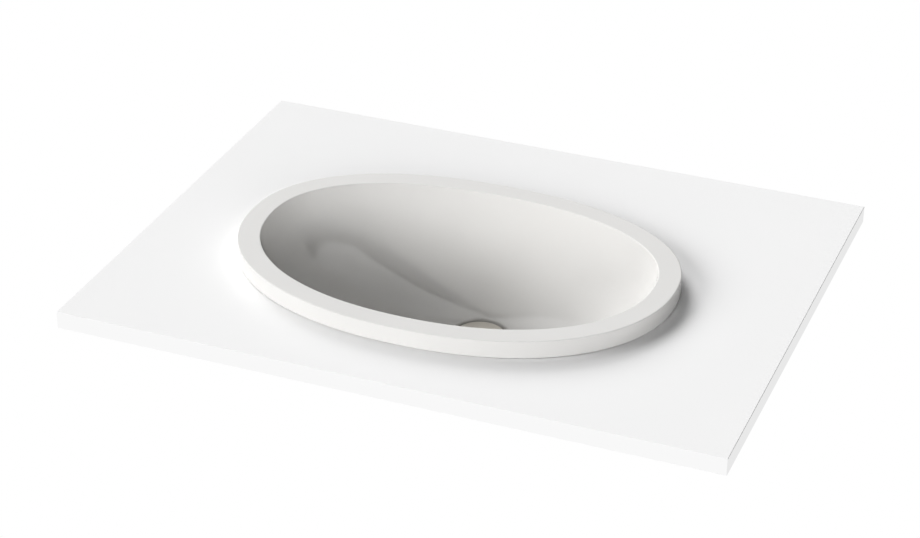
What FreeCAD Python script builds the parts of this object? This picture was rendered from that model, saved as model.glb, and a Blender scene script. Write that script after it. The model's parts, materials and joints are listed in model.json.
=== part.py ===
import FreeCAD, Part
import math
import os
from FreeCAD import Vector

# Inset basin with a push-to-open waste and four clamps.
# Millimetres. Origin on the plane the rim seal rests on, in the middle of the rim.
# +X to the right along the basin, +Y to the back, +Z up.

# Rim
rim_length = 500.0
rim_back = 160.0            # widest line to the back edge
rim_front = 182.0           # widest line to the front edge
back_power = 2.21           # fullness of the oval behind the widest line
front_power = 2.15
rim_height = 19.8
rim_width = 25.0
rim_edge_round = 1.2
seal_height = 0.7
seal_setback = 1.5          # from the rim's outer edge
seal_cover = 1.0            # seal beyond the cut-out's collar
overhang = 10.0             # of the rim over the collar that enters the cut-out
collar_depth = 8.0
collar_bevel = 1.0

# Bowl
bowl_depth = 149.0          # rim top to the drain's lip
drain_margin = 89.0         # drain axis to the rim's back edge
wall = 12.0
wall_lean = 0.07            # shape of the wall's profile, as fractions of run and depth
wall_reach = 0.50
floor_reach = 0.42
floor_fall = 0.012
floor_sink = 1.0            # end of the outside inside the drain boss

# Drain recess
recess_clearance = 2.5      # recess wall round the flange
lip_round = 3.0
recess_depth = 10.0
hole_clearance = 1.55       # drain hole round the waste's tail
drain_boss_margin = 3.0     # underside boss beyond the recess
drain_boss_floor = 12.0
drain_boss_flare = 4.0      # wider where it meets the bowl
drain_boss_bevel = 1.5

# Waste
tail_radius = 20.95
tail_wall = 2.95
tail_length = 64.0          # below the recess floor
flange_width = 10.55        # beyond the tail
flange_height = 3.0
flange_bevel = 1.0
gasket_height = 1.5
gasket_setback = 0.5        # inside the flange's edge
seat_width = 1.55           # beyond the tail
seat_drop = 1.5
washer_margin = 0.5         # underside washers beyond the flange
cone_washer_taper = 2.0
cone_washer_height = 6.0
slip_washer_height = 1.5
nut_height = 12.0
nut_flange = 3.0
nut_wall = 6.05             # hexagon's flats outside the thread
nut_bevel_angle = 30.0      # of the hexagon's turned corners
nut_flange_bevel = 0.8
relief_gap = 1.0            # below the nut
relief_height = 1.5
relief_depth = 0.6
tail_bevel = 1.0
hub_radius = 8.0
hub_wall = 3.0
hub_height = 7.0
hub_rise = 14.0             # hub's underside above the tail's end
arm_width = 4.0
arm_sink = 1.0              # into the tail's wall

# Plug
cap_setback = 1.5           # inside the flange's edge
cap_crown = 1.0
cap_edge_height = 4.3
cap_edge_round = 1.2
cap_foot_bevel = 0.6
cap_gap = 0.7               # cap's underside over the flange
boss_radius = 8.0
boss_height = 6.7
seal_clearance = 0.7        # plug seal inside the seat's wall
retainer_radius = 14.0
retainer_height = 1.6
stem_radius = 4.2
thread_radius = 3.95
thread_stop = 1.4           # blind end of the thread below the cap's underside
plug_travel = 9.0

# Catch cartridge
housing_radius = 9.5
housing_bore = 7.2
housing_floor = 3.0
spigot_drop = 3.0           # spigot below the bridge
rib_height = 1.0
rib_width = 2.4
guide_drop = 2.5            # guide below the cap's boss
guide_height = 3.0
guide_spigot = 2.0
collar_height = 2.0
ring_height = 3.0
pin_radius = 3.0
pin_drop = 2.0              # pin below the toothed ring
tooth_height = 1.4
tooth_length = 4.0
tooth_count = 6
lug_count = 3
spring_radius = 5.6
spring_wire = 0.5
spring_turns = 5

# Clamps
counter_thickness = 20.0    # thickness that the basin is set in
boss_setback = 0.8          # clamp boss inside the collar's wall
clamp_boss_radius = 7.5
clamp_boss_bevel = 0.8
insert_radius = 4.0
insert_length = 14.0
stud_radius = 2.95
stud_setback = 1.0          # stud's end below the insert's
stud_free = 42.0            # stud below that thickness
bar_width = 14.0
bar_reach = 32.0
bar_thickness = 3.0
bar_round = 3.5             # corners of the bar's free end
bar_bevel = 0.4
pad_length = 13.0
pad_height = 2.0
stud_washer_radius = 7.0
washer_thickness = 1.2
washer_bevel = 0.25
wing_hub_radius = 5.5
wing_hub_height = 7.0
wing_hub_bevel = 0.6
wing_span = 15.0
wing_height = 11.0
wing_rise = 1.5             # wing's root below the hub's seat
wing_slope = 4.5
wing_round = 2.2
wing_thickness = 2.2
wing_edge_bevel = 0.5
back_clamp_angle = 25.0
front_clamp_angle = -60.0

# Clearances
running = 0.05
thread_gap = 0.05
free_gap = 0.3
washer_gap = 0.2

# Levels
half_length = rim_length / 2
widest_y = (rim_front - rim_back) / 2
drain_setback = rim_back - drain_margin
drain_y = widest_y + drain_setback
rim_top = seal_height + rim_height
rim_core = seal_height + rim_height / 4
lip_z = rim_top - bowl_depth
recess_z = lip_z - recess_depth
boss_z = recess_z - drain_boss_floor
tail_z = recess_z - tail_length
flange_z = recess_z + gasket_height
flange_top = flange_z + flange_height
seat_z = flange_top - seat_drop

# Sizes round the drain that follow the waste's tail
tail_bore = tail_radius - tail_wall
flange_radius = tail_radius + flange_width
seat_radius = tail_radius + seat_width
drain_hole_radius = tail_radius + hole_clearance
recess_radius = flange_radius + recess_clearance
lip_radius = recess_radius - lip_round
drain_boss_radius = recess_radius + drain_boss_margin
washer_radius = flange_radius + washer_margin
cap_radius = flange_radius - cap_setback
seal_reach = seat_radius - seal_clearance

# Clamp sizes that follow the thickness the basin is set in
boss_offset = overhang + boss_setback + clamp_boss_radius
clamp_boss_drop = counter_thickness + pad_height
stud_drop = counter_thickness + stud_free

UP = Vector(0, 0, 1)
DRAIN = Vector(0, drain_y, 0)
section_points = 40
os.makedirs("parts", exist_ok=True)


def save(name, shape):
    shape.exportStep(os.path.join("parts", name + ".step"))


def signed_power(value, power):
    return math.copysign(abs(value) ** power, value)


def oval_point(inset, angle):
    """A point of the rim's oval, moved in by inset, at an angle counted from +X."""
    behind = math.sin(angle) >= 0
    power = 2.0 / (back_power if behind else front_power)
    reach = (rim_back if behind else rim_front) - inset
    x = (half_length - inset) * signed_power(math.cos(angle), power)
    y = widest_y + reach * signed_power(math.sin(angle), power)
    return x, y


def closed_wire(points):
    """A smooth closed wire; equal steps keep the wires of one loft in line."""
    curve = Part.BSplineCurve()
    steps = [i / len(points) for i in range(len(points) + 1)]
    curve.interpolate(Points=points, PeriodicFlag=True, Parameters=steps)
    return Part.Wire([curve.toShape()])


def oval_wire(inset, z):
    points = []
    for i in range(section_points):
        angle = -math.pi / 2 + 2 * math.pi * i / section_points
        x, y = oval_point(inset, angle)
        points.append(Vector(x, y, z))
    return closed_wire(points)


def oval_block(inset, bottom, top):
    return Part.Face(oval_wire(inset, bottom)).extrude(UP * (top - bottom))


def rim_reach(angle):
    """From the drain axis to the rim's inner edge, in the given direction."""
    low = 0.0
    high = rim_length
    for _ in range(50):
        r = (low + high) / 2
        x = r * math.cos(angle)
        y = drain_setback + r * math.sin(angle)
        reach = (rim_back if y >= 0 else rim_front) - rim_width
        power = back_power if y >= 0 else front_power
        inside = abs(x / (half_length - rim_width)) ** power + abs(y / reach) ** power < 1
        if inside:
            low = r
        else:
            high = r
    return low


def bezier(a, b, c, d, u):
    v = 1 - u
    return v ** 3 * a + 3 * v * v * u * b + 3 * v * u * u * c + u ** 3 * d


def bowl_profile(angle, u):
    """Radius and height of the bowl's inside, from the rim (u = 0) to the drain's lip (u = 1)."""
    run = rim_reach(angle) - lip_radius
    share = bezier(1, 1 - wall_lean, floor_reach, 0, u)
    fall = bezier(0, wall_reach, 1 - floor_fall, 1, u)
    return lip_radius + run * share, rim_top - bowl_depth * fall


def outside_radius(angle, z):
    """Radius of the bowl's outside at a height: the inside moved out by the wall."""
    steps = 120
    before = None
    for i in range(steps):
        r0, z0 = bowl_profile(angle, i / steps)
        r1, z1 = bowl_profile(angle, (i + 1) / steps)
        length = math.hypot(r1 - r0, z1 - z0)
        r = r0 + wall * (z0 - z1) / length
        h = z0 + wall * (r1 - r0) / length
        if before and h <= z:
            share = (before[1] - z) / (before[1] - h)
            return before[0] + share * (r - before[0])
        before = (r, h)
    return before[0]


def ring_wire(radius_of, z):
    points = []
    for i in range(section_points):
        angle = -math.pi / 2 + 2 * math.pi * i / section_points
        r = radius_of(angle)
        points.append(Vector(r * math.cos(angle), drain_y + r * math.sin(angle), z))
    return closed_wire(points)


def bowl_inside():
    wires = []
    for i in range(11):
        u = i / 10
        z = bowl_profile(0, u)[1]
        wires.append(ring_wire(lambda a, u=u: bowl_profile(a, u)[0], z))
    return Part.makeLoft(wires, True)


def bowl_outside():
    top = rim_core
    bottom = lip_z - wall + floor_sink
    wires = []
    for i in range(11):
        z = bottom + (top - bottom) * (1 - math.sin(math.pi / 2 * i / 10))
        wires.append(ring_wire(lambda a, z=z: outside_radius(a, z), z))
    return Part.makeLoft(wires, True)


def disc(radius, bottom, top, centre=DRAIN):
    return Part.makeCylinder(radius, top - bottom, Vector(centre.x, centre.y, bottom))


def ring(outer, inner, bottom, top, centre=DRAIN):
    return disc(outer, bottom, top, centre).cut(disc(inner, bottom, top, centre))


def bevel_rim(solid, z, size):
    """Bevels the edges of a solid that lie at a height."""
    edges = [e for e in solid.Edges if abs(e.BoundBox.ZMin - z) < 0.01 and abs(e.BoundBox.ZMax - z) < 0.01]
    return solid.makeChamfer(size, edges)


def turned(profile):
    """A solid turned about the drain axis from radius and height pairs."""
    corners = [Vector(r, drain_y, z) for r, z in profile]
    face = Part.Face(Part.makePolygon(corners + corners[:1]))
    return face.revolve(DRAIN, UP, 360)


def clamp_places():
    """Stud position and outward direction of each clamp."""
    places = []
    for angle in (back_clamp_angle, 180 - back_clamp_angle, 180 - front_clamp_angle, front_clamp_angle):
        a = math.radians(angle)
        x, y = oval_point(0, a)
        ahead = Vector(*oval_point(0, a + 0.01), 0)
        behind = Vector(*oval_point(0, a - 0.01), 0)
        along = ahead.sub(behind)
        outward = Vector(along.y, -along.x, 0).normalize()
        places.append((Vector(x, y, 0) - outward * boss_offset, outward))
    return places


clamp_sides = ("back_right", "back_left", "front_left", "front_right")
places = clamp_places()

# Basin shell: rim, collar, bowl, drain boss and clamp bosses as one casting
shell = oval_block(0, seal_height, rim_top)
collar = oval_block(overhang, -collar_depth, rim_core)
shell = shell.fuse(bevel_rim(collar, -collar_depth, collar_bevel))
shell = shell.fuse(bowl_outside())
drain_boss = turned([
    (0, boss_z),
    (drain_boss_radius - drain_boss_bevel, boss_z),
    (drain_boss_radius, boss_z + drain_boss_bevel),
    (drain_boss_radius + drain_boss_flare, lip_z),
    (0, lip_z),
])
shell = shell.fuse(drain_boss)
for centre, outward in places:
    clamp_boss = disc(clamp_boss_radius, -clamp_boss_drop, rim_core, centre)
    shell = shell.fuse(bevel_rim(clamp_boss, -clamp_boss_drop, clamp_boss_bevel))
shell = shell.cut(bowl_inside())
shell = shell.cut(disc(recess_radius, recess_z, lip_z + lip_round))
shell = shell.cut(disc(drain_hole_radius, boss_z, recess_z))
for centre, outward in places:
    hole_top = insert_length - clamp_boss_drop
    shell = shell.cut(disc(insert_radius + thread_gap, -clamp_boss_drop, hole_top, centre))
shell = shell.removeSplitter()
lip_edges = []
for edge in shell.Edges:
    if abs(edge.BoundBox.ZMin - lip_z) < 0.5 and abs(edge.BoundBox.XLength - 2 * recess_radius) < 0.5:
        lip_edges.append(edge)
shell = shell.makeFillet(lip_round, lip_edges)
top_edges = [e for e in shell.Edges if abs(e.BoundBox.ZMin - rim_top) < 0.01]
shell = shell.makeFillet(rim_edge_round, top_edges)
save("basin_shell", shell)

# Rim seal
seal = oval_block(seal_setback, 0, seal_height)
seal = seal.cut(oval_block(overhang - seal_cover, 0, seal_height))
save("rim_seal", seal)

# Waste body: flange, seat, threaded tail with a relief below the nut, and bridge
nut_top = boss_z - cone_washer_height - slip_washer_height
nut_z = nut_top - nut_height
relief_top = nut_z - relief_gap
relief_z = relief_top - relief_height
body = turned([
    (tail_bore, seat_z),
    (seat_radius, seat_z),
    (seat_radius, flange_top),
    (flange_radius - flange_bevel, flange_top),
    (flange_radius, flange_top - flange_bevel),
    (flange_radius, flange_z),
    (tail_radius, flange_z),
    (tail_radius, relief_top),
    (tail_radius - relief_depth, relief_top),
    (tail_radius - relief_depth, relief_z),
    (tail_radius, relief_z),
    (tail_radius, tail_z + tail_bevel),
    (tail_radius - tail_bevel, tail_z),
    (tail_bore, tail_z),
])
hub_z = tail_z + hub_rise
hub_top = hub_z + hub_height
spigot_radius = hub_radius - hub_wall
bridge = disc(hub_radius, hub_z, hub_top)
for i in range(lug_count):
    arm = Part.makeBox(tail_bore + arm_sink, arm_width, hub_height, Vector(0, -arm_width / 2, hub_z))
    arm.rotate(Vector(0, 0, 0), UP, 90 + i * 360 / lug_count)
    arm.translate(DRAIN)
    bridge = bridge.fuse(arm)
body = body.fuse(bridge)
body = body.cut(disc(spigot_radius + thread_gap, hub_z, hub_top))
save("waste_body", body.removeSplitter())

# Seals, washers and nut of the waste
save("flange_gasket", ring(flange_radius - gasket_setback, drain_hole_radius, recess_z, flange_z))
washer_bore = tail_radius + free_gap
cone = turned([
    (washer_bore, boss_z),
    ((drain_hole_radius + washer_radius) / 2, boss_z),
    (washer_radius, boss_z - cone_washer_height + cone_washer_taper),
    (washer_radius, boss_z - cone_washer_height),
    (washer_bore, boss_z - cone_washer_height),
])
save("cone_washer", cone)
slip_z = boss_z - cone_washer_height - slip_washer_height
save("slip_washer", ring(washer_radius - washer_margin, washer_bore, slip_z, boss_z - cone_washer_height))
nut_flat = tail_radius + nut_wall
nut_corner = nut_flat / math.cos(math.radians(30))
hex_corners = []
for i in range(7):
    a = math.radians(60 * i)
    hex_corners.append(Vector(nut_corner * math.cos(a), drain_y + nut_corner * math.sin(a), nut_z))
nut = Part.Face(Part.makePolygon(hex_corners)).extrude(UP * (nut_height - nut_flange))
nut_bevel = (nut_corner - nut_flat) * math.tan(math.radians(nut_bevel_angle))
nut = nut.common(turned([
    (0, nut_z),
    (nut_flat, nut_z),
    (nut_corner, nut_z + nut_bevel),
    (nut_corner, nut_top),
    (0, nut_top),
]))
flange_disc = disc(washer_radius, nut_top - nut_flange, nut_top)
nut = nut.fuse(bevel_rim(flange_disc, nut_top - nut_flange, nut_flange_bevel))
nut = nut.cut(disc(tail_radius + thread_gap, nut_z, nut_top))
save("back_nut", nut.removeSplitter())

# Plug: cap with boss, seal and retainer
cap_under = flange_top + cap_gap
cap_edge = cap_under + cap_edge_height
boss_bottom = cap_under - boss_height
thread_bore = thread_radius + thread_gap
bore_top = cap_under - thread_stop
cap_round = cap_edge_round * math.sqrt(0.5)
cap_rim = cap_radius - cap_edge_round
cap_points = [
    Vector(0, drain_y, bore_top),
    Vector(thread_bore, drain_y, bore_top),
    Vector(thread_bore, drain_y, boss_bottom),
    Vector(boss_radius, drain_y, boss_bottom),
    Vector(boss_radius, drain_y, cap_under),
    Vector(cap_radius - cap_foot_bevel, drain_y, cap_under),
    Vector(cap_radius, drain_y, cap_under + cap_foot_bevel),
    Vector(cap_radius, drain_y, cap_edge - cap_edge_round),
]
cap_shoulder = Vector(cap_rim, drain_y, cap_edge)
cap_corner = Vector(cap_rim + cap_round, drain_y, cap_edge - cap_edge_round + cap_round)
cap_peak = Vector(0, drain_y, cap_edge + cap_crown)
dome_radius = (cap_rim ** 2 + cap_crown ** 2) / (2 * cap_crown)
dome_centre = cap_edge + cap_crown - dome_radius
dome_half = dome_centre + math.sqrt(dome_radius ** 2 - cap_rim ** 2 / 4)
cap_slope = Vector(cap_rim / 2, drain_y, dome_half)
cap_edges = [Part.makeLine(a, b) for a, b in zip(cap_points, cap_points[1:])]
cap_edges.append(Part.Arc(cap_points[-1], cap_corner, cap_shoulder).toShape())
cap_edges.append(Part.Arc(cap_shoulder, cap_slope, cap_peak).toShape())
cap_edges.append(Part.makeLine(cap_peak, cap_points[0]))
save("plug_cap", Part.Face(Part.Wire(cap_edges)).revolve(DRAIN, UP, 360))
save("plug_seal", ring(seal_reach, boss_radius + thread_gap, seat_z, cap_under))
save("seal_retainer", ring(retainer_radius, boss_radius + thread_gap, seat_z - retainer_height, seat_z))

# Catch cartridge: housing on the bridge, guide cap, plunger, toothed ring and spring
guide_top = boss_bottom - guide_drop
guide_z = guide_top - guide_height
housing = disc(housing_radius, hub_top, guide_z)
housing = housing.cut(disc(housing_bore, hub_top + housing_floor, guide_z))
collar_top = guide_z - guide_spigot - free_gap - plug_travel
ring_top = collar_top - collar_height - free_gap
rib_bottom = collar_top + free_gap
rib_bore = housing_bore - rib_height
for i in range(lug_count):
    rib_length = guide_z - guide_spigot - rib_bottom
    rib = Part.makeBox(housing_bore, rib_width, rib_length, Vector(0, -rib_width / 2, rib_bottom))
    rib.rotate(Vector(0, 0, 0), UP, 30 + i * 360 / lug_count)
    rib.translate(DRAIN)
    housing = housing.fuse(rib.cut(disc(rib_bore, rib_bottom, guide_z)))
housing = housing.fuse(disc(spigot_radius, hub_z - spigot_drop, hub_top))
save("cartridge_housing", housing.removeSplitter())
guide = disc(housing_radius, guide_z, guide_top)
guide = guide.fuse(disc(housing_bore - thread_gap, guide_z - guide_spigot, guide_z))
guide = guide.cut(disc(stem_radius + running, guide_z - guide_spigot, guide_top))
save("cartridge_cap", guide)
plunger = disc(stem_radius, collar_top - collar_height, boss_bottom - free_gap)
plunger = plunger.fuse(disc(thread_radius, boss_bottom - free_gap, bore_top - free_gap))
plunger = plunger.fuse(disc(rib_bore - free_gap, collar_top - collar_height, collar_top))
ring_z = ring_top - tooth_height - ring_height
plunger = plunger.fuse(disc(pin_radius, ring_z - pin_drop, collar_top - collar_height))
save("plunger", plunger.removeSplitter())
crown = ring(rib_bore - free_gap, pin_radius + thread_gap, ring_z, ring_top - tooth_height)
tooth_ring = ring(rib_bore - free_gap, pin_radius + thread_gap, ring_top - tooth_height, ring_top)
for i in range(tooth_count):
    corners = [
        Vector(0, -tooth_length / 2, ring_top - tooth_height),
        Vector(0, tooth_length / 2, ring_top - tooth_height),
        Vector(0, tooth_length / 2, ring_top),
        Vector(0, -tooth_length / 2, ring_top - tooth_height),
    ]
    tooth = Part.Face(Part.makePolygon(corners)).extrude(Vector(housing_bore, 0, 0))
    tooth.rotate(Vector(0, 0, 0), UP, i * 360 / tooth_count)
    tooth.translate(DRAIN)
    crown = crown.fuse(tooth.common(tooth_ring))
for i in range(lug_count):
    lug = Part.makeBox(housing_bore - free_gap, rib_width, ring_height, Vector(0, -rib_width / 2, ring_z))
    lug.rotate(Vector(0, 0, 0), UP, 90 + i * 360 / lug_count)
    lug.translate(DRAIN)
    crown = crown.fuse(lug.cut(disc(pin_radius + rib_height, ring_z, ring_top)))
save("ratchet_ring", crown.removeSplitter())
spring_low = hub_top + housing_floor + spring_wire
spring_high = ring_z - spring_wire
quarter_turns = spring_turns * 4


def coil_point(turn):
    a = 2 * math.pi * turn / 4
    z = spring_low + (spring_high - spring_low) * turn / quarter_turns
    return Vector(spring_radius * math.cos(a), drain_y + spring_radius * math.sin(a), z)


coil = []
for i in range(quarter_turns):
    coil.append(Part.Arc(coil_point(i), coil_point(i + 0.5), coil_point(i + 1)).toShape())
path = Part.Wire(coil)
rise = (spring_high - spring_low) / spring_turns
start = Vector(0, 2 * math.pi * spring_radius, rise)
section = Part.Wire([Part.makeCircle(spring_wire, coil_point(0), start)])
spring = path.makePipeShell([section], True, False)
save("return_spring", spring)

# Clamps
bar_top = -clamp_boss_drop - free_gap
bar_z = bar_top - bar_thickness
washer_top = bar_z - washer_gap
washer_z = washer_top - washer_thickness
wing_z = washer_z - wing_hub_height
stud_bore = stud_radius + running


def wing_ear():
    """One wing of a nut, on the +X side, with a rounded tip."""
    corners = [
        Vector(stud_radius, 0, washer_z - wing_rise),
        Vector(wing_span, 0, washer_z - wing_rise - wing_slope),
        Vector(wing_span, 0, washer_z - wing_height),
        Vector(wing_hub_radius + wing_rise, 0, washer_z - wing_height),
        Vector(stud_radius, 0, wing_z),
        Vector(stud_radius, 0, washer_z - wing_rise),
    ]
    ear = Part.Face(Part.makePolygon(corners)).extrude(Vector(0, wing_thickness, 0))
    ear.translate(Vector(0, -wing_thickness / 2, 0))
    tips = [e for e in ear.Edges if e.BoundBox.XMin > wing_span - 0.01 and e.BoundBox.ZLength < 0.01]
    ear = ear.makeFillet(wing_round, tips)
    outline = [e for e in ear.Edges if e.BoundBox.YLength < 0.01 and e.BoundBox.XMax > wing_hub_radius]
    return ear.makeChamfer(wing_edge_bevel, outline)


def round_end(solid):
    """Rounds the upright corners at a bar's or a pad's free end."""
    corners = [e for e in solid.Edges if e.BoundBox.XMin > bar_reach - 0.01 and e.BoundBox.YLength < 0.01]
    return solid.makeFillet(bar_round, corners)


inserts = []
studs = []
washers = []
wing_nuts = []
for side, (centre, outward) in zip(clamp_sides, places):
    heading = math.degrees(math.atan2(outward.y, outward.x))
    insert_top = insert_length - clamp_boss_drop
    inserts.append(ring(insert_radius, stud_bore, -clamp_boss_drop, insert_top, centre))
    studs.append(disc(stud_radius, -stud_drop, insert_top - stud_setback, centre))
    washer = bevel_rim(disc(stud_washer_radius, washer_z, washer_top, centre), washer_z, washer_bevel)
    washers.append(washer.cut(disc(stud_bore, washer_z, washer_top, centre)))
    bar = round_end(Part.makeBox(bar_reach, bar_width, bar_thickness, Vector(0, -bar_width / 2, bar_z)))
    bar = bar.fuse(disc(bar_width / 2, bar_z, bar_top, Vector(0, 0, 0))).removeSplitter()
    bar = bevel_rim(bar, bar_z, bar_bevel)
    bar = bar.cut(disc(stud_bore, bar_z, bar_top, Vector(0, 0, 0)))
    pad_corner = Vector(bar_reach - pad_length, -bar_width / 2, bar_top)
    pad = round_end(Part.makeBox(pad_length, bar_width, pad_height, pad_corner))
    wing = bevel_rim(disc(wing_hub_radius, wing_z, washer_z, Vector(0, 0, 0)), wing_z, wing_hub_bevel)
    for turn in (90, 270):
        ear = wing_ear()
        ear.rotate(Vector(0, 0, 0), UP, turn)
        wing = wing.fuse(ear)
    wing = wing.cut(disc(stud_bore, wing_z - wing_height, washer_z, Vector(0, 0, 0)))
    for piece in (bar, pad, wing):
        piece.rotate(Vector(0, 0, 0), UP, heading)
        piece.translate(centre)
    save("clamp_bar_" + side, bar)
    save("clamp_pad_" + side, pad)
    wing_nuts.append(wing.removeSplitter())
save("threaded_inserts", Part.makeCompound(inserts))
save("clamp_studs", Part.makeCompound(studs))
save("clamp_washers", Part.makeCompound(washers))
save("wing_nuts", Part.makeCompound(wing_nuts))
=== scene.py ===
"""Looks of the inset basin, laid out as an add-on.

Each group of like pieces has its own operator, and so has the stage.
"""

import json
import math

import bpy
import bmesh
from bpy.props import FloatProperty, FloatVectorProperty, IntProperty, PointerProperty
from mathutils import Matrix, Vector


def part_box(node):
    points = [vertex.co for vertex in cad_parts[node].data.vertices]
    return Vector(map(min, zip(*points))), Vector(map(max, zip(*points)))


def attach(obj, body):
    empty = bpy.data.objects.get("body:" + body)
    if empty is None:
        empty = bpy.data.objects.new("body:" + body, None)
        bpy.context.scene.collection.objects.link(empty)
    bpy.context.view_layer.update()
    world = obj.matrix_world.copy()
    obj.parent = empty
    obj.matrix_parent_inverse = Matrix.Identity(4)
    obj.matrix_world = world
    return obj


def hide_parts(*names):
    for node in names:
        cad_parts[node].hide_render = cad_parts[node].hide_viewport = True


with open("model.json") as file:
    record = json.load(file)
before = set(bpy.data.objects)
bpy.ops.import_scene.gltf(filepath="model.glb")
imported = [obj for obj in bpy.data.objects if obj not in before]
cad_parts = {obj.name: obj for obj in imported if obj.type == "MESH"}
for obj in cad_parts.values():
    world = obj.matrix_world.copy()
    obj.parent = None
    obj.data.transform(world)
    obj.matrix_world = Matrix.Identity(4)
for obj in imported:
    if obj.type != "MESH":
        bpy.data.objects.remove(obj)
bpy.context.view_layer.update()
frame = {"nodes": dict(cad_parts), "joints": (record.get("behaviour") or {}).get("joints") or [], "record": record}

bl_info = {
    "name": "Inset Basin",
    "version": (1, 0, 0),
    "blender": (4, 5, 0),
    "location": "3D View > Sidebar > Basin",
    "description": "Dresses the inset basin and sets its stage",
    "category": "Object",
}

# What the frame says

NODES = frame["nodes"]
SIDES = ("back_right", "back_left", "front_left", "front_right")
SHELL_LOW, SHELL_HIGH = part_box("basin_shell")
WASTE_LOW, WASTE_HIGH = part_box("waste_body")
DRAIN = Vector(((WASTE_LOW.x + WASTE_HIGH.x) / 2, (WASTE_LOW.y + WASTE_HIGH.y) / 2, 0))
STUDS = {
    joint["child"].removeprefix("clamp_"): Vector(joint["pos_m"])
    for joint in frame["joints"]
    if joint["child"].startswith("clamp_")
}
TAIL = next(mount for mount in frame["record"]["mounts"] if mount["name"] == "waste_tail")

# Fixed values; lengths in metres

MERGE_GAP = 1e-6  # points nearer than this are one
NEAR = 0.00005  # a point this near to a surface lies on it
SMOOTH_ANGLE = math.radians(35)  # gentler edges are shaded smooth

RIDGE_SINK = 1.1  # depth of a thread ridge's root, in thread depths
RIDGE_FOOT = 0.9  # width at its root, in pitches
RIDGE_CREST = 0.16  # width at its crest, as a share of that at its root
RIDGE_CORNERS = 4  # corners of its section
RUN_OUT = 0.25  # turns over which it fades at each end
RUN_OUT_LEAST = 0.06  # share of its height left at the very end
TAIL_NUT_GAP = 0.0025  # from the back nut down to the tail's thread
TAIL_END_GAP = 0.001  # from the tail's end up to its thread

NOISE_MIDDLE = (0.3, 0.7)  # range that holds most of a noise
GLAZE_IOR = 1.7
BARE_FACING = (-0.25, -0.05)  # rise of a face's normal from bare ware to glaze
BARE_SPREAD = 0.08  # how far the bare ware's roughness varies
STREAK_SQUEEZE = (1, 1, 6)  # draws the wire's streaks out round the coil

PLATE_ROUGHNESS = 0.55
PLATE_BEVEL = 0.0004
PLATE_BEVEL_ANGLE = math.radians(50)  # sharper edges are bevelled
CUTOUT_SIDES = 160
OUTER_SHARE = 0.499  # of the plate's size, from its middle to its outer faces
UPRIGHT_RISE = 0.5  # an upright face's normal rises less than this

# Azimuth and elevation of the lights, in degrees
LAMPS = {
    "key": (150, 46),
    "back": (130, 28),
    "left": (212, 26),
    "front": (262, 18),
    "right": (305, 10),
}
FLOOR_LAMP = (0, -90)
FLOOR_SOFTNESS = math.radians(100)

# Where the mirrored room turns from white to dark and back, by the rise of a ray
HORIZON_FADE = (math.sin(math.radians(5)), math.sin(math.radians(19)))
OVERHEAD_FADE = (math.sin(math.radians(23)), math.sin(math.radians(25)))
REAR_WAY = (0.0, 0.8, 0.6)  # way to the middle of the white part above
REAR_FADE = (-0.11, -0.07)  # cosine of the angle to that way

SENSOR_WIDTH = 36  # mm


# Settings


def srgb(*levels):
    """A screen colour in 0 to 255, as the linear colour that the shaders take."""
    linear = []
    for level in levels:
        c = level / 255
        linear.append(c / 12.92 if c <= 0.04045 else ((c + 0.055) / 1.055) ** 2.4)
    return tuple(linear)


def colour(name, description, *levels):
    return FloatVectorProperty(
        name=name, description=description, default=srgb(*levels), subtype="COLOR", min=0, max=1
    )


def length(name, description, default):
    return FloatProperty(
        name=name, description=description, default=default, unit="LENGTH", precision=5
    )


def factor(name, description, default):
    return FloatProperty(
        name=name, description=description, default=default, min=0, max=1, subtype="FACTOR"
    )


def level(name, description, default):
    return FloatProperty(name=name, description=description, default=default, min=0, max=10)


def angle(name, description, degrees):
    return FloatProperty(
        name=name, description=description, default=math.radians(degrees), subtype="ANGLE"
    )


def power(name, description, default):
    return FloatProperty(name=name, description=description, default=default)


def count(name, description, default, least):
    return IntProperty(name=name, description=description, default=default, min=least)


class BasinFinishes(bpy.types.PropertyGroup):
    """Colours and roughness of the finishes"""

    glaze: colour("Glaze", "Colour of the glazed ware", 220, 219, 217)
    glaze_roughness: factor("Glaze roughness", "Roughness of the glaze", 0.03)
    bare_roughness: factor("Bare roughness", "Roughness of the ware's unglazed underside", 0.45)
    satin_nickel: colour("Satin nickel", "Colour of the plug's cap", 226, 222, 214)
    bright_nickel: colour("Bright nickel", "Colour of the waste body and its retainer", 205, 201, 194)
    zinc: colour("Zinc", "Colour of the plated clamps", 190, 192, 194)
    brass: colour("Brass", "Colour of the threaded inserts", 206, 172, 104)
    spring_steel: colour("Spring steel", "Colour of the return spring", 176, 177, 180)
    black_rubber: colour("Black rubber", "Colour of the washers, pads and plug seal", 34, 34, 35)
    seal_rubber: colour("Seal rubber", "Colour of the seal under the rim", 58, 57, 56)
    foam_rubber: colour("Foam rubber", "Colour of the flange gasket", 72, 72, 75)
    white_plastic: colour("White plastic", "Colour of the slip washer, guide and plunger", 226, 225, 220)
    grey_plastic: colour("Grey plastic", "Colour of the catch's housing", 128, 131, 134)
    nut_plastic: colour("Nut plastic", "Colour of the back nut and the catch's ring", 66, 68, 71)


class BasinThreads(bpy.types.PropertyGroup):
    """Sizes of the threads"""

    tail_pitch: length("Tail pitch", "Pitch of the pipe thread on the waste's tail", 0.002309)
    tail_depth: length("Tail depth", "Depth of the pipe thread", 0.00115)
    stud_pitch: length("Stud pitch", "Pitch of the thread on the clamp studs", 0.001)
    stud_depth: length("Stud depth", "Depth of the studs' thread", 0.0005)
    tail_steps: count("Tail steps", "Faces round one turn of the tail", 72, 12)
    stud_steps: count("Stud steps", "Faces round one turn of a stud", 20, 8)


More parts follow.
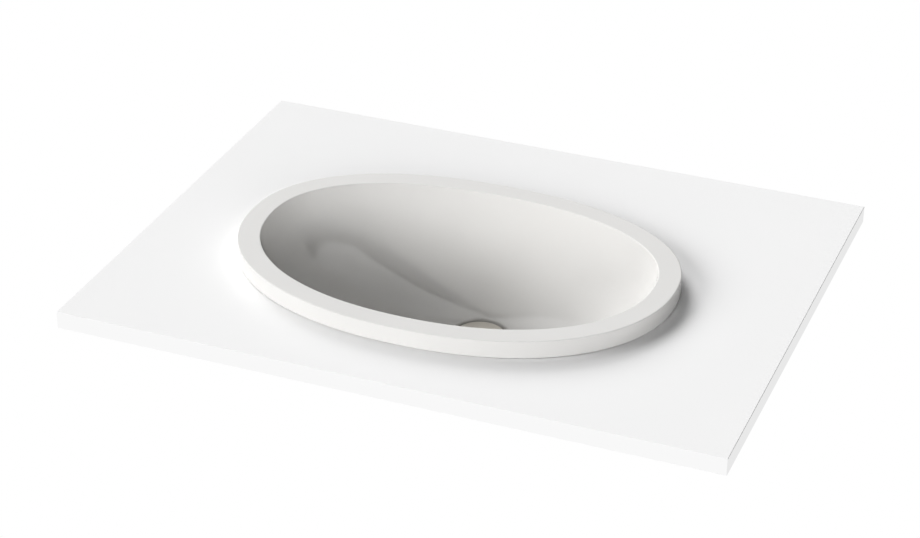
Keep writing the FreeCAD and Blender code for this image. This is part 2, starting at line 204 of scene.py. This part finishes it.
class BasinStage(bpy.types.PropertyGroup):
    """Plate, lights and camera"""

    plate: colour("Plate", "Colour of the pale plate that the basin is set in", 242, 242, 242)
    plate_length: length("Plate length", "Length of the plate along X", 0.7416)
    plate_depth: length("Plate depth", "Depth of the plate along Y", 0.561)
    plate_thickness: length("Plate thickness", "Thickness of the plate", 0.020)
    plate_x: length("Plate X", "Middle of the plate along X", 0.0127)
    plate_y: length("Plate Y", "Middle of the plate along Y", 0.0358)
    # Painted light and shade on the plate's upright faces: fixed glow levels, with the end faces darker than the
    # front and back faces
    front_edge_painted_light: factor("Front edge", "Brightness of the plate's front and back faces, as seen", 0.94)
    end_edge_painted_shade: factor("Side edge", "Brightness of the plate's end faces, as seen", 0.81)
    cutout_inset: length("Cut-out inset", "Cut-out's edge inside the rim's outer edge", 0.009)
    cutout_widest: length("Widest line", "Place along Y of the rim's widest line", 0.011)
    back_fullness: power("Back fullness", "Power of the oval behind its widest line", 2.21)
    front_fullness: power("Front fullness", "Power of the oval before it", 2.15)
    key_level: level("Key", "Strength of the high light from the back left", 0.32)
    back_level: level("Back", "Strength of the lower light from the back left", 0.72)
    left_level: level("Left", "Strength of the light from the front left", 0.62)
    front_level: level("Front", "Strength of the light from the front", 0.28)
    right_level: level("Right", "Strength of the low light from the front right", 0.46)
    floor_level: level("Floor", "Strength of the light that the floor sends up", 0.80)
    softness: angle("Softness", "Width of each light in the sky", 28)
    camera_place: FloatVectorProperty(
        name="Camera",
        description="Place of the camera",
        default=(0.8685, -2.1985, 1.3409),
        subtype="TRANSLATION",
    )
    camera_azimuth: angle("Azimuth", "Camera's turn to the right of the front", 21.398)
    camera_elevation: angle("Elevation", "Camera's angle above the horizon", 29.548)
    camera_roll: angle("Roll", "Camera's turn about its own axis", 0.431)
    camera_lens: FloatProperty(name="Lens", description="Focal length in mm", default=96.79, min=1)


# Modelling helpers


def deselect():
    if bpy.context.object and bpy.context.object.mode != "OBJECT":
        bpy.ops.object.mode_set(mode="OBJECT")
    bpy.ops.object.select_all(action="DESELECT")


def make_active(piece):
    deselect()
    piece.select_set(True)
    bpy.context.view_layer.objects.active = piece


def name_piece(name):
    piece = bpy.context.object
    piece.name = name
    piece.data.name = name
    return piece


def node_copy(node, name):
    """A copy of a CAD node with its own merged mesh."""
    piece = bpy.data.objects.new(name, NODES[node].data.copy())
    bpy.context.scene.collection.objects.link(piece)
    make_active(piece)
    bpy.ops.mesh.customdata_custom_splitnormals_clear()
    bpy.ops.object.mode_set(mode="EDIT")
    bpy.ops.mesh.select_all(action="SELECT")
    bpy.ops.mesh.remove_doubles(threshold=MERGE_GAP)
    bpy.ops.mesh.select_all(action="DESELECT")
    bpy.ops.object.mode_set(mode="OBJECT")
    return piece


def select_points(piece, chosen):
    """Selects, in edit mode, the vertices that the test picks by their place."""
    mesh = bmesh.from_edit_mesh(piece.data)
    for vertex in mesh.verts:
        vertex.select = chosen(vertex.co)
    mesh.select_flush_mode()
    bmesh.update_edit_mesh(piece.data)


def apply_modifier(piece, kind, **settings):
    make_active(piece)
    modifier = piece.modifiers.new(kind.title(), kind)
    for key, value in settings.items():
        setattr(modifier, key, value)
    bpy.ops.object.modifier_apply(modifier=modifier.name)


def join(pieces):
    make_active(pieces[0])
    for piece in pieces[1:]:
        piece.select_set(True)
    bpy.ops.object.join()
    return bpy.context.object


def settle(piece):
    """Puts the piece's place into its mesh and smooths its gentle edges."""
    make_active(piece)
    bpy.ops.object.transform_apply(location=True, rotation=True, scale=True)
    bpy.ops.object.shade_smooth_by_angle(angle=SMOOTH_ANGLE)
    return piece


def threaded_rod(name, centre, radius, bottom, top, depth, pitch, steps):
    """A rod with a bevelled lower end and a thread along it."""
    deselect()
    middle = Vector((centre.x, centre.y, (bottom + top) / 2))
    bpy.ops.mesh.primitive_cylinder_add(
        vertices=steps, radius=radius - depth, depth=top - bottom, location=middle
    )
    rod = name_piece(name)
    bpy.ops.object.mode_set(mode="EDIT")
    bpy.ops.mesh.select_mode(type="VERT")
    select_points(rod, lambda p: p.z < 0)
    bpy.ops.mesh.bevel(offset=depth, segments=1, affect="EDGES")
    bpy.ops.object.mode_set(mode="OBJECT")
    ridge = thread_ridge(name + "_thread", centre, radius, bottom, top, depth, pitch, steps)
    return settle(join([rod, ridge]))


def thread_ridge(name, centre, crest, bottom, top, depth, pitch, steps):
    """A helical ridge: one tooth's section, carried round the axis by the Screw modifier."""
    turns = max(1, int((top - bottom) / pitch) - 1)
    foot = Vector((centre.x, centre.y, bottom + pitch / 2))
    root = crest - depth * RIDGE_SINK
    deselect()
    bpy.ops.mesh.primitive_plane_add(size=1, location=foot)
    ridge = name_piece(name)
    bpy.ops.object.mode_set(mode="EDIT")
    bpy.ops.mesh.delete(type="ONLY_FACE")
    bpy.ops.mesh.select_all(action="SELECT")
    bpy.ops.transform.resize(value=(crest - root, pitch * RIDGE_FOOT, 1), center_override=foot)
    bpy.ops.transform.rotate(value=math.pi / 2, orient_axis="X", center_override=foot)
    bpy.ops.transform.translate(value=((crest + root) / 2, 0, 0))
    select_points(ridge, lambda p: p.x > (crest + root) / 2)
    bpy.ops.transform.resize(value=(1, 1, RIDGE_CREST), center_override=foot)
    bpy.ops.object.mode_set(mode="OBJECT")
    apply_modifier(
        ridge,
        "SCREW",
        axis="Z",
        angle=2 * math.pi,
        screw_offset=pitch,
        iterations=turns,
        steps=steps,
        render_steps=steps,
        use_merge_vertices=True,
        merge_threshold=MERGE_GAP,
    )
    fade_thread(ridge, root, steps)
    bpy.ops.object.mode_set(mode="EDIT")
    bpy.ops.mesh.select_all(action="SELECT")
    bpy.ops.mesh.fill_holes(sides=0)
    bpy.ops.mesh.select_all(action="SELECT")
    bpy.ops.mesh.normals_make_consistent(inside=False)
    bpy.ops.object.mode_set(mode="OBJECT")
    return ridge


def fade_thread(ridge, root, steps):
    """Lets the ridge run out into the rod at its start and its end."""
    run = steps * RUN_OUT
    last = len(ridge.data.vertices) // RIDGE_CORNERS - 1
    for vertex in ridge.data.vertices:
        section = vertex.index // RIDGE_CORNERS
        share = max(RUN_OUT_LEAST, min(1, section / run, (last - section) / run))
        reach = math.hypot(vertex.co.x, vertex.co.y)
        vertex.co.xy *= (root + (reach - root) * share) / reach


def rim_oval(stage, turn):
    """A point of the rim's oval, moved in by the cut-out's inset, as the shell has it."""
    back = math.sin(turn) >= 0
    bend = 2 / (stage.back_fullness if back else stage.front_fullness)
    edge = SHELL_HIGH.y - stage.cutout_widest if back else stage.cutout_widest - SHELL_LOW.y
    across = math.copysign(abs(math.cos(turn)) ** bend, math.cos(turn))
    along = math.copysign(abs(math.sin(turn)) ** bend, math.sin(turn))
    x = (SHELL_HIGH.x - stage.cutout_inset) * across
    y = stage.cutout_widest + (edge - stage.cutout_inset) * along
    return x, y


# Materials


def shader(name):
    """A new material, its node tree and its main shader."""
    made = bpy.data.materials.new(name)
    made.use_nodes = True
    tree = made.node_tree
    return made, tree, tree.nodes["Principled BSDF"]


def add(tree, kind, inputs=None, **settings):
    """A node with its settings, and its inputs set or linked by name."""
    node = tree.nodes.new("ShaderNode" + kind)
    for key, value in settings.items():
        setattr(node, key, value)
    for key, value in (inputs or {}).items():
        if isinstance(value, bpy.types.NodeSocket):
            tree.links.new(value, node.inputs[key])
        else:
            node.inputs[key].default_value = value
    return node


def object_place(tree):
    return add(tree, "TexCoord").outputs["Object"]


def facing(tree, axis):
    """How far a face looks along an axis of its object."""
    return add(tree, "SeparateXYZ", {0: add(tree, "TexCoord").outputs["Normal"]}).outputs[axis]


def noise(tree, place, size, detail=3.0, rough=0.5):
    """Noise whose features are about the given size in metres."""
    inputs = {"Vector": place, "Scale": 1 / size, "Detail": detail, "Roughness": rough}
    return add(tree, "TexNoise", inputs).outputs["Fac"]


def spread(tree, value, low, high, start=NOISE_MIDDLE[0], end=NOISE_MIDDLE[1]):
    """Maps a value that runs from start to end, such as the middle of a noise, to a range."""
    inputs = {"Value": value, "From Min": start, "From Max": end, "To Min": low, "To Max": high}
    return add(tree, "MapRange", inputs).outputs["Result"]


def shades(tree, value, base, low, high):
    """Colours from a darker to a lighter shade of the base."""
    ramp = add(tree, "ValToRGB", {"Fac": value})
    for element, place, shade in zip(ramp.color_ramp.elements, NOISE_MIDDLE, (low, high)):
        element.position = place
        element.color = [min(1, c * shade) for c in base] + [1]
    return ramp.outputs["Color"]


def bump(tree, height, depth, strength, under=None):
    inputs = {"Height": height, "Distance": depth, "Strength": strength}
    if under:
        inputs["Normal"] = under
    return add(tree, "Bump", inputs).outputs["Normal"]


def calculate(tree, operation, *values):
    return add(tree, "Math", dict(enumerate(values)), operation=operation).outputs[0]


def connect(tree, main, **sockets):
    for key, value in sockets.items():
        tree.links.new(value, main.inputs[key.replace("_", " ")])


def make_metal(main):
    main.inputs["Metallic"].default_value = 1.0


def make_matte(main):
    main.inputs["Roughness"].default_value = PLATE_ROUGHNESS
    main.inputs["Specular IOR Level"].default_value = 0.0


def glaze_finish(finishes):
    """Glaze on the faces that look up or out, and bare ware on those that look down."""
    made, tree, main = shader("glaze")
    place = object_place(tree)
    cloud = noise(tree, place, size=0.09, detail=2)
    peel = noise(tree, place, size=0.006, detail=2)
    grain = noise(tree, place, size=0.0011, detail=2)
    glazed = finishes.glaze_roughness
    dull = finishes.bare_roughness
    bare = spread(tree, facing(tree, "Z"), 1.0, 0.0, *BARE_FACING)
    glazed = spread(tree, peel, low=glazed * 0.8, high=glazed * 1.25)
    dull = spread(tree, grain, low=dull - BARE_SPREAD, high=dull + BARE_SPREAD)
    fine = bump(tree, grain, depth=0.000004, strength=0.3)
    connect(tree, main, Base_Color=shades(tree, cloud, finishes.glaze, low=0.985, high=1.01))
    connect(tree, main, Roughness=add(tree, "Mix", {0: bare, 2: glazed, 3: dull}).outputs[0])
    connect(tree, main, Normal=bump(tree, peel, depth=0.00003, strength=0.35, under=fine))
    main.inputs["IOR"].default_value = GLAZE_IOR
    return made


def rubber_finish(name, base, grain_size=0.0006, rough=0.62):
    made, tree, main = shader(name)
    place = object_place(tree)
    dust = noise(tree, place, size=0.012, detail=4)
    grain = noise(tree, place, size=grain_size)
    connect(tree, main, Base_Color=shades(tree, dust, base, low=0.8, high=1.3))
    connect(tree, main, Roughness=spread(tree, dust, low=rough - 0.08, high=rough + 0.12))
    connect(tree, main, Normal=bump(tree, grain, depth=0.00008, strength=0.5))
    return made


def plastic_finish(name, base):
    made, tree, main = shader(name)
    place = object_place(tree)
    flow = noise(tree, place, size=0.02, detail=2)
    grain = noise(tree, place, size=0.0004, detail=2)
    connect(tree, main, Base_Color=shades(tree, flow, base, low=0.94, high=1.05))
    connect(tree, main, Roughness=spread(tree, grain, low=0.32, high=0.48))
    connect(tree, main, Normal=bump(tree, grain, depth=0.00002, strength=0.4))
    return made


def turned_finish(name, base, rough, mark, depth):
    """Metal with fine rings about the drain axis, as a lathe leaves them."""
    made, tree, main = shader(name)
    place = object_place(tree)
    shift = {"Vector": place, "Location": (-DRAIN.x, -DRAIN.y, 0)}
    centred = add(tree, "Mapping", shift).outputs["Vector"]
    flat = add(tree, "VectorMath", {0: centred, 1: (1, 1, 0)}, operation="MULTIPLY").outputs["Vector"]
    radius = add(tree, "VectorMath", {0: flat}, operation="LENGTH").outputs["Value"]
    height = add(tree, "SeparateXYZ", {0: centred}).outputs["Z"]
    along = calculate(tree, "ADD", radius, height)
    inputs = {"W": along, "Scale": 1 / mark, "Detail": 3.0, "Roughness": 0.6}
    rings = add(tree, "TexNoise", inputs, noise_dimensions="1D").outputs["Fac"]
    smudge = noise(tree, place, size=0.02)
    connect(tree, main, Base_Color=shades(tree, smudge, base, low=0.95, high=1.04))
    connect(tree, main, Roughness=spread(tree, smudge, low=rough * 0.85, high=rough * 1.2))
    connect(tree, main, Normal=bump(tree, rings, depth=depth, strength=0.5))
    make_metal(main)
    return made


def plated_finish(name, base, rough=0.34):
    """Plated metal with a faint mottled bloom and a fine grain."""
    made, tree, main = shader(name)
    place = object_place(tree)
    bloom = noise(tree, place, size=0.007, detail=4, rough=0.6)
    grain = noise(tree, place, size=0.0005, detail=2)
    connect(tree, main, Base_Color=shades(tree, bloom, base, low=0.86, high=1.08))
    connect(tree, main, Roughness=spread(tree, bloom, low=rough - 0.08, high=rough + 0.12))
    connect(tree, main, Normal=bump(tree, grain, depth=0.00002, strength=0.4))
    make_metal(main)
    return made


def wire_finish(name, base):
    """Drawn wire with fine streaks round the coil."""
    made, tree, main = shader(name)
    place = object_place(tree)
    squeezed = add(tree, "Mapping", {"Vector": place, "Scale": STREAK_SQUEEZE}).outputs["Vector"]
    streak = noise(tree, squeezed, size=0.0012)
    connect(tree, main, Base_Color=shades(tree, streak, base, low=0.85, high=1.08))
    connect(tree, main, Roughness=spread(tree, streak, low=0.24, high=0.4))
    connect(tree, main, Normal=bump(tree, streak, depth=0.00001, strength=0.5))
    make_metal(main)
    return made


def plate_finish(stage):
    made, tree, main = shader("pale_plate")
    cloud = noise(tree, object_place(tree), size=0.15, detail=2)
    connect(tree, main, Base_Color=shades(tree, cloud, stage.plate, low=0.995, high=1.005))
    make_matte(main)
    return made


def plate_edge_painted_shading(stage):
    """Upright outer faces of the plate, which glow to the camera at set levels instead of being lit: painted light
    on the front and back faces, painted shade on the darker end faces.
    """
    made, tree, main = shader("plate_edge_painted_shade")
    main.inputs["Base Color"].default_value = (*stage.plate, 1)
    make_matte(main)
    # Painted shade: the glow falls from the front and back faces' level to a darker level on the end faces
    across = calculate(tree, "ABSOLUTE", facing(tree, "X"))
    brightness = spread(tree, across, stage.front_edge_painted_light, stage.end_edge_painted_shade)
    glow = add(tree, "Emission", {"Color": (1, 1, 1, 1), "Strength": brightness})
    seen = add(tree, "LightPath").outputs["Is Camera Ray"]
    mixed = add(tree, "MixShader", {0: seen, 1: main.outputs[0], 2: glow.outputs[0]})
    tree.links.new(mixed.outputs[0], tree.nodes["Material Output"].inputs["Surface"])
    return made


def dress(piece, made):
    piece.data.materials.clear()
    piece.data.materials.append(made)


# Operators


class BASIN_OT_ware(bpy.types.Operator):
    """Glazes the basin's shell"""

    bl_idname = "basin.ware"
    bl_label = "Glazed ware"

    def execute(self, context):
        dress(NODES["basin_shell"], glaze_finish(context.scene.basin_finishes))
        return {"FINISHED"}


class BASIN_OT_seals(bpy.types.Operator):
    """Gives the seals, washers and clamp pads their rubber"""

    bl_idname = "basin.seals"
    bl_label = "Seals and pads"

    def execute(self, context):
        finishes = context.scene.basin_finishes
        black = rubber_finish("black_rubber", finishes.black_rubber)
        foam = rubber_finish("foam_rubber", finishes.foam_rubber, grain_size=0.0015, rough=0.8)
        dress(NODES["rim_seal"], rubber_finish("seal_rubber", finishes.seal_rubber))
        dress(NODES["flange_gasket"], foam)
        dress(NODES["plug_seal"], black)
        dress(NODES["cone_washer"], black)
        for side in SIDES:
            dress(NODES["clamp_pad_" + side], black)
        return {"FINISHED"}


class BASIN_OT_waste(bpy.types.Operator):
    """Cuts the pipe thread on the waste's tail and plates the waste"""

    bl_idname = "basin.waste"
    bl_label = "Waste"

    def execute(self, context):
        threads = context.scene.basin_threads
        finishes = context.scene.basin_finishes
        crest = TAIL["dims"]["r_mm"] / 1000
        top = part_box("back_nut")[0].z - TAIL_NUT_GAP
        bottom = WASTE_LOW.z + TAIL_END_GAP
        waste = node_copy("waste_body", "waste_threaded")
        bpy.ops.object.mode_set(mode="EDIT")

        def on_tail(p):
            reach = math.hypot(p.x - DRAIN.x, p.y - DRAIN.y)
            return abs(reach - crest) < NEAR and p.z < top + NEAR

        select_points(waste, on_tail)
        shrink = (crest - threads.tail_depth) / crest
        bpy.ops.transform.resize(value=(shrink, shrink, 1), center_override=DRAIN)
        bpy.ops.object.mode_set(mode="OBJECT")
        ridge = thread_ridge(
            "tail_thread", DRAIN, crest, bottom, top,
            threads.tail_depth, threads.tail_pitch, threads.tail_steps,
        )
        waste = settle(join([waste, ridge]))
        nickel = turned_finish(
            "bright_nickel", finishes.bright_nickel, rough=0.22, mark=0.0006, depth=0.00001
        )
        dress(waste, nickel)
        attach(waste, "basin")
        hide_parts("waste_body")
        return {"FINISHED"}


class BASIN_OT_nut(bpy.types.Operator):
    """Gives the back nut and the slip washer their plastic"""

    bl_idname = "basin.nut"
    bl_label = "Back nut"

    def execute(self, context):
        finishes = context.scene.basin_finishes
        dress(NODES["back_nut"], plastic_finish("nut_plastic", finishes.nut_plastic))
        dress(NODES["slip_washer"], plastic_finish("washer_plastic", finishes.white_plastic))
        return {"FINISHED"}


class BASIN_OT_plug(bpy.types.Operator):
    """Finishes the plug's cap and its retainer"""

    bl_idname = "basin.plug"
    bl_label = "Plug"

    def execute(self, context):
        finishes = context.scene.basin_finishes
        satin = turned_finish(
            "satin_nickel", finishes.satin_nickel, rough=0.36, mark=0.0005, depth=0.000012
        )
        bright = turned_finish(
            "retainer_nickel", finishes.bright_nickel, rough=0.25, mark=0.0006, depth=0.00001
        )
        dress(NODES["plug_cap"], satin)
        dress(NODES["seal_retainer"], bright)
        return {"FINISHED"}


class BASIN_OT_catch(bpy.types.Operator):
    """Finishes the pieces of the push-push catch"""

    bl_idname = "basin.catch"
    bl_label = "Catch"

    def execute(self, context):
        finishes = context.scene.basin_finishes
        white = plastic_finish("white_plastic", finishes.white_plastic)
        dress(NODES["cartridge_housing"], plastic_finish("grey_plastic", finishes.grey_plastic))
        dress(NODES["cartridge_cap"], white)
        dress(NODES["plunger"], white)
        dress(NODES["ratchet_ring"], plastic_finish("ring_plastic", finishes.nut_plastic))
        dress(NODES["return_spring"], wire_finish("spring_steel", finishes.spring_steel))
        return {"FINISHED"}


class BASIN_OT_clamps(bpy.types.Operator):
    """Threads the clamp studs and plates the clamps"""

    bl_idname = "basin.clamps"
    bl_label = "Clamps"

    def execute(self, context):
        threads = context.scene.basin_threads
        finishes = context.scene.basin_finishes
        zinc = plated_finish("zinc", finishes.zinc)
        dress(NODES["threaded_inserts"], plated_finish("brass", finishes.brass, rough=0.28))
        dress(NODES["clamp_washers"], zinc)
        dress(NODES["wing_nuts"], zinc)
        for side in SIDES:
            dress(NODES["clamp_bar_" + side], zinc)
        low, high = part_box("clamp_studs")
        first = STUDS[SIDES[0]]
        radius = high.x - first.x
        rod = threaded_rod(
            "stud_" + SIDES[0], first, radius, low.z, high.z,
            threads.stud_depth, threads.stud_pitch, threads.stud_steps,
        )
        dress(rod, zinc)
        for side in SIDES:
            stud = rod
            if side != SIDES[0]:
                stud = bpy.data.objects.new("stud_" + side, rod.data.copy())
                context.scene.collection.objects.link(stud)
                stud.data.transform(Matrix.Translation(STUDS[side] - first))
            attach(stud, "basin")
            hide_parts("clamp_studs")
        return {"FINISHED"}


class BASIN_OT_stage(bpy.types.Operator):
    """Sets the plate, the surroundings, the soft lights and the camera"""

    bl_idname = "basin.stage"
    bl_label = "Stage"

    def execute(self, context):
        stage = context.scene.basin_stage
        self.plate(stage)
        self.surroundings(context.scene)
        self.lights(stage)
        self.camera(context.scene, stage)
        context.scene.view_settings.view_transform = "Standard"
        return {"FINISHED"}

    def plate(self, stage):
        """A plain plate with a cut-out for the basin; its upright outer faces have painted light and shade."""
        size = Vector((stage.plate_length, stage.plate_depth, stage.plate_thickness))
        middle = Vector((stage.plate_x, stage.plate_y, -size.z / 2))
        deselect()
        bpy.ops.mesh.primitive_cube_add(size=1, location=middle, scale=size)
        plate = name_piece("plate")
        bpy.ops.object.transform_apply(location=True, rotation=True, scale=True)
        deselect()
        bpy.ops.mesh.primitive_cylinder_add(
            vertices=CUTOUT_SIDES, radius=1, depth=size.z * 2, location=(0, 0, 0)
        )
        cutter = name_piece("cutout")
        for vertex in cutter.data.vertices:
            vertex.co.xy = rim_oval(stage, math.atan2(vertex.co.y, vertex.co.x))
        apply_modifier(plate, "BOOLEAN", operation="DIFFERENCE", object=cutter, solver="EXACT")
        bpy.data.objects.remove(cutter)
        apply_modifier(
            plate,
            "BEVEL",
            width=PLATE_BEVEL,
            segments=1,
            limit_method="ANGLE",
            angle_limit=PLATE_BEVEL_ANGLE,
        )
        bpy.ops.object.shade_flat()
        dress(plate, plate_finish(stage))
        # The upright outer faces take the edge material with its painted light and painted shade
        plate.data.materials.append(plate_edge_painted_shading(stage))
        for face in plate.data.polygons:
            off = face.center - middle
            outside = abs(off.x) > size.x * OUTER_SHARE or abs(off.y) > size.y * OUTER_SHARE
            upright = abs(face.normal.z) < UPRIGHT_RISE
            face.material_index = 1 if outside and upright else 0

    def surroundings(self, scene):
        """A room that is white to the camera and lights nothing.

        In a mirror it has a dark band above the horizon and a dark front.
        """
        world = bpy.data.worlds.new("surroundings")
        scene.world = world
        world.use_nodes = True
        tree = world.node_tree
        tree.nodes.clear()
        path = add(tree, "LightPath").outputs
        way = add(tree, "TexCoord").outputs["Generated"]
        up = add(tree, "SeparateXYZ", {0: way}).outputs["Z"]
        behind = add(tree, "VectorMath", {0: way, 1: REAR_WAY}, operation="DOT_PRODUCT").outputs["Value"]
        horizon = spread(tree, up, 1.0, 0.0, *HORIZON_FADE)
        overhead = spread(tree, up, 0.0, 1.0, *OVERHEAD_FADE)
        rear = spread(tree, behind, 0.0, 1.0, *REAR_FADE)
        bright = calculate(tree, "MAXIMUM", calculate(tree, "MINIMUM", overhead, rear), horizon)
        mirror = calculate(tree, "MAXIMUM", path["Is Glossy Ray"], path["Is Transmission Ray"])
        mirrored = calculate(tree, "MULTIPLY", mirror, bright)
        seen = calculate(tree, "MAXIMUM", path["Is Camera Ray"], mirrored)
        room = add(tree, "Background", {"Color": (1, 1, 1, 1), "Strength": seen})
        add(tree, "OutputWorld", {"Surface": room.outputs[0]})

    def lights(self, stage):
        """Five soft lights round the basin, and one for the light from the floor."""
        for name, (azimuth, elevation) in LAMPS.items():
            strength = getattr(stage, name + "_level")
            self.soft_light(name + "_light", azimuth, elevation, strength, stage.softness)
        self.soft_light("floor_light", *FLOOR_LAMP, stage.floor_level, FLOOR_SOFTNESS)

    def soft_light(self, name, azimuth, elevation, strength, softness):
        """A wide distant light; at strength 1 a white face turned to it renders white."""
        lamp = bpy.data.lights.new(name, "SUN")
        lamp.energy = math.pi * strength
        lamp.angle = softness
        light = bpy.data.objects.new(name, lamp)
        bpy.context.scene.collection.objects.link(light)
        a = math.radians(azimuth)
        e = math.radians(elevation)
        away = Vector((math.cos(a) * math.cos(e), math.sin(a) * math.cos(e), math.sin(e)))
        light.rotation_euler = away.to_track_quat("Z", "Y").to_euler()
        light.visible_glossy = False

    def camera(self, scene, stage):
        lens = bpy.data.cameras.new("camera")
        lens.sensor_width = SENSOR_WIDTH
        lens.sensor_fit = "HORIZONTAL"
        lens.lens = stage.camera_lens
        camera = bpy.data.objects.new("camera", lens)
        scene.collection.objects.link(camera)
        turn = (
            Matrix.Rotation(stage.camera_azimuth, 3, "Z")
            @ Matrix.Rotation(math.pi / 2 - stage.camera_elevation, 3, "X")
            @ Matrix.Rotation(stage.camera_roll, 3, "Z")
        )
        camera.location = stage.camera_place
        camera.rotation_euler = turn.to_euler()
        scene.camera = camera


class BASIN_PT_panel(bpy.types.Panel):
    """Lists the basin's operators and settings"""

    bl_label = "Inset Basin"
    bl_space_type = "VIEW_3D"
    bl_region_type = "UI"
    bl_category = "Basin"

    def draw(self, context):
        for operator in OPERATORS:
            self.layout.operator(operator.bl_idname)
        for name in SETTINGS:
            settings = getattr(context.scene, name)
            box = self.layout.box()
            for key in settings.__annotations__:
                box.prop(settings, key)


OPERATORS = (
    BASIN_OT_ware,
    BASIN_OT_seals,
    BASIN_OT_waste,
    BASIN_OT_nut,
    BASIN_OT_plug,
    BASIN_OT_catch,
    BASIN_OT_clamps,
    BASIN_OT_stage,
)
SETTINGS = {"basin_finishes": BasinFinishes, "basin_threads": BasinThreads, "basin_stage": BasinStage}
CLASSES = tuple(SETTINGS.values()) + OPERATORS + (BASIN_PT_panel,)


def register():
    for made in CLASSES:
        bpy.utils.register_class(made)
    for name, kind in SETTINGS.items():
        setattr(bpy.types.Scene, name, PointerProperty(type=kind))


def unregister():
    for name in SETTINGS:
        delattr(bpy.types.Scene, name)
    for made in reversed(CLASSES):
        bpy.utils.unregister_class(made)


def main():
    register()
    bpy.ops.basin.ware()
    bpy.ops.basin.seals()
    bpy.ops.basin.waste()
    bpy.ops.basin.nut()
    bpy.ops.basin.plug()
    bpy.ops.basin.catch()
    bpy.ops.basin.clamps()
    bpy.ops.basin.stage()
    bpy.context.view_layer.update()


if __name__ == "__main__":
    main()
